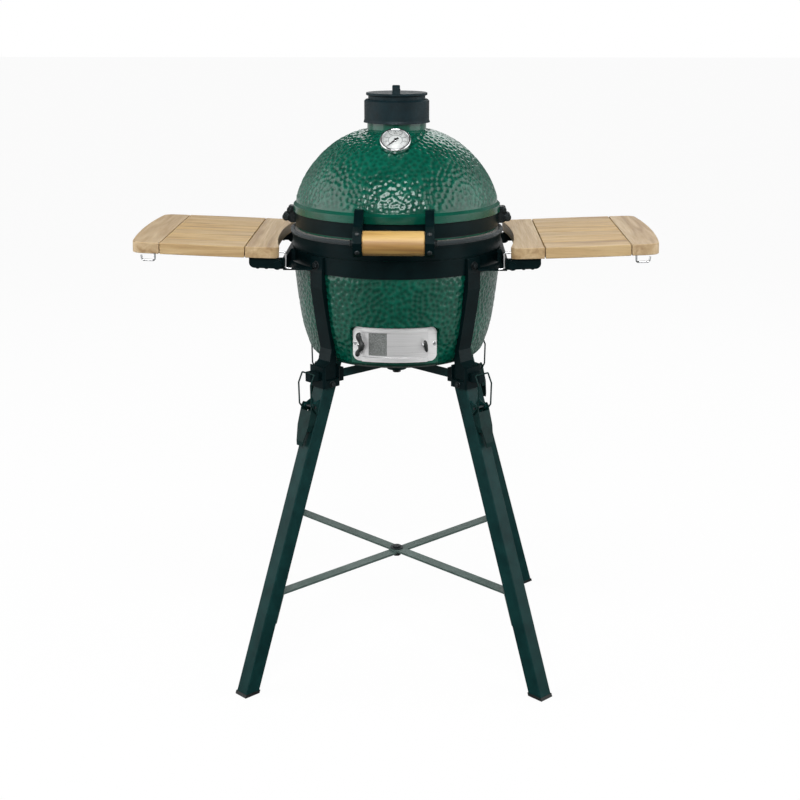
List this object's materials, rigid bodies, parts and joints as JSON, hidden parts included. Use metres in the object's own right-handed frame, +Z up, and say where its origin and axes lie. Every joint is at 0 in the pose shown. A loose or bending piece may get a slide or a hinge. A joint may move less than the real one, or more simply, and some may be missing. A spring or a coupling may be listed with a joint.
{
  "type": "kamado charcoal grill",
  "caption": "Egg-shaped ceramic charcoal grill with a hinged lid, top vent and draft door, in a steel carrier on a folding cross-leg stand with fold-down wooden side shelves.",
  "frame": {"origin": "on the floor, under the vertical axis of the egg", "axes": "+Z up along the egg's axis, -Y towards the front with the handle and draft door, +X towards the right-hand shelf seen from the front"},
  "size_m": [0.9646, 0.5946, 1.106],
  "materials": {
    "green_glaze": "dimpled gloss glaze over ceramic",
    "fire_clay": "dull unglazed ceramic",
    "black_steel": "satin black powder coat",
    "zinc_bolts": "blackened steel",
    "latch_steel": "satin black",
    "black_plastic": "matte",
    "cast_iron": "fine sand-cast, black",
    "stainless": "brushed",
    "chrome_wire": "bright",
    "shelf_wood": "oiled",
    "felt": "felt",
    "needle_paint": "matte"
  },
  "bodies": {
    "frame_a": {"leg_front_left": "black_steel", "leg_back_right": "black_steel", "foot_caps_a": "black_plastic", "socket_front_left": "black_steel", "socket_back_right": "black_steel", "upper_arm_a": "black_steel", "lower_brace_a": "black_steel", "upper_hub_bolt": "zinc_bolts", "lower_hub_bolt": "zinc_bolts", "latch_pins_a": "zinc_bolts"},
    "frame_b": {"leg_front_right": "black_steel", "leg_back_left": "black_steel", "foot_caps_b": "black_plastic", "socket_front_right": "black_steel", "socket_back_left": "black_steel", "upper_arm_b": "black_steel", "lower_brace_b": "black_steel", "latch_pins_b": "zinc_bolts"},
    "carrier": {"carrier_band": "black_steel", "carrier_straps": "black_steel", "shelf_brackets": "black_steel", "base_shell": "green_glaze", "base_band": "black_steel", "base_gasket": "felt", "fire_box": "fire_clay", "fire_ring": "fire_clay", "fire_grate": "cast_iron", "cooking_grid": "stainless", "draft_frame": "stainless", "hinge_base_bracket": "black_steel", "hinge_pin": "zinc_bolts"},
    "draft_door": {"draft_door": "stainless", "draft_door_knob": "black_plastic"},
    "draft_screen": {"draft_screen": "stainless", "draft_screen_handle": "black_plastic"},
    "lid": {"lid_shell": "green_glaze", "lid_band": "black_steel", "lid_band_bolts": "zinc_bolts", "lid_gasket": "felt", "hinge_lid_bracket": "black_steel", "handle_grip": "shelf_wood", "handle_brackets": "black_steel", "thermometer_case": "chrome_wire", "vent_cap_body": "cast_iron"},
    "needle": {"thermometer_needle": "needle_paint"},
    "vent_disc": {"vent_cap_disc": "cast_iron"},
    "shelf_left": {"shelf_left": "shelf_wood", "shelf_arms_left": "black_steel", "tool_hooks_left": "chrome_wire"},
    "shelf_right": {"shelf_right": "shelf_wood", "shelf_arms_right": "black_steel", "tool_hooks_right": "chrome_wire"},
    "latch_lever_front_left": {"latch_lever_front_left": "latch_steel"},
    "latch_bail_front_left": {"latch_bail_front_left": "latch_steel"},
    "latch_lever_front_right": {"latch_lever_front_right": "latch_steel"},
    "latch_bail_front_right": {"latch_bail_front_right": "latch_steel"},
    "latch_lever_back_left": {"latch_lever_back_left": "latch_steel"},
    "latch_bail_back_left": {"latch_bail_back_left": "latch_steel"},
    "latch_lever_back_right": {"latch_lever_back_right": "latch_steel"},
    "latch_bail_back_right": {"latch_bail_back_right": "latch_steel"}
  },
  "joints": [
    {"name": "egg_lift", "type": "slide", "parent": "frame_a", "child": "carrier", "axis": [0, 0, 1], "range_m": [0, 0.32]},
    {"name": "nest_fold", "type": "hinge", "parent": "frame_a", "child": "frame_b", "pos_m": [0, 0, 0], "axis": [0, 0, 1], "range_deg": [0, 70]},
    {"name": "lid_open", "type": "hinge", "parent": "carrier", "child": "lid", "pos_m": [0, 0.222, 0.84], "axis": [-1, 0, 0], "range_deg": [0, 75]},
    {"name": "vent_disc_swing", "type": "hinge", "parent": "lid", "child": "vent_disc", "pos_m": [0, 0.047, 1.0875], "axis": [0, 0, 1], "range_deg": [0, 80]},
    {"name": "needle_turn", "type": "hinge", "parent": "lid", "child": "needle", "pos_m": [0, -0.113, 1.0145], "axis": [0, -0.6428, 0.766], "range_deg": [-270, 0]},
    {"name": "draft_door_slide", "type": "hinge", "parent": "carrier", "child": "draft_door", "pos_m": [0, 0, 0.65], "axis": [0, 0, 1], "range_deg": [-12, 5]},
    {"name": "draft_screen_slide", "type": "hinge", "parent": "carrier", "child": "draft_screen", "pos_m": [0, 0, 0.65], "axis": [0, 0, 1], "range_deg": [-3.3, 0.9]},
    {"name": "shelf_right_fold", "type": "hinge", "parent": "carrier", "child": "shelf_right", "pos_m": [0.212, 0, 0.795], "axis": [0, 1, 0], "range_deg": [0, 90]},
    {"name": "shelf_left_fold", "type": "hinge", "parent": "carrier", "child": "shelf_left", "pos_m": [-0.212, 0, 0.795], "axis": [0, -1, 0], "range_deg": [0, 90]},
    {"name": "latch_open_front_left", "type": "hinge", "parent": "frame_a", "child": "latch_lever_front_left", "pos_m": [-0.15797, -0.15797, 0.529], "axis": [-0.7071, 0.7071, 0], "range_deg": [0, 110]},
    {"name": "bail_swing_front_left", "type": "hinge", "parent": "latch_lever_front_left", "child": "latch_bail_front_left", "pos_m": [-0.15655, -0.15655, 0.517], "axis": [-0.7071, 0.7071, 0], "range_deg": [-140, 0]},
    {"name": "latch_open_front_right", "type": "hinge", "parent": "frame_b", "child": "latch_lever_front_right", "pos_m": [0.15797, -0.15797, 0.529], "axis": [-0.7071, -0.7071, 0], "range_deg": [0, 110]},
    {"name": "bail_swing_front_right", "type": "hinge", "parent": "latch_lever_front_right", "child": "latch_bail_front_right", "pos_m": [0.15655, -0.15655, 0.517], "axis": [-0.7071, -0.7071, 0], "range_deg": [-140, 0]},
    {"name": "latch_open_back_left", "type": "hinge", "parent": "frame_b", "child": "latch_lever_back_left", "pos_m": [-0.15797, 0.15797, 0.529], "axis": [0.7071, 0.7071, 0], "range_deg": [0, 110]},
    {"name": "bail_swing_back_left", "type": "hinge", "parent": "latch_lever_back_left", "child": "latch_bail_back_left", "pos_m": [-0.15655, 0.15655, 0.517], "axis": [0.7071, 0.7071, 0], "range_deg": [-140, 0]},
    {"name": "latch_open_back_right", "type": "hinge", "parent": "frame_a", "child": "latch_lever_back_right", "pos_m": [0.15797, 0.15797, 0.529], "axis": [0.7071, -0.7071, 0], "range_deg": [0, 110]},
    {"name": "bail_swing_back_right", "type": "hinge", "parent": "latch_lever_back_right", "child": "latch_bail_back_right", "pos_m": [0.15655, 0.15655, 0.517], "axis": [0.7071, -0.7071, 0], "range_deg": [-140, 0]}
  ],
  "couplings": [
    {"joint": "nest_fold", "follows": "egg_lift", "rad_per_m": 3.8},
    {"joint": "bail_swing_front_left", "follows": "latch_open_front_left", "ratio": -1.27},
    {"joint": "bail_swing_front_right", "follows": "latch_open_front_right", "ratio": -1.27},
    {"joint": "bail_swing_back_left", "follows": "latch_open_back_left", "ratio": -1.27},
    {"joint": "bail_swing_back_right", "follows": "latch_open_back_right", "ratio": -1.27}
  ]
}
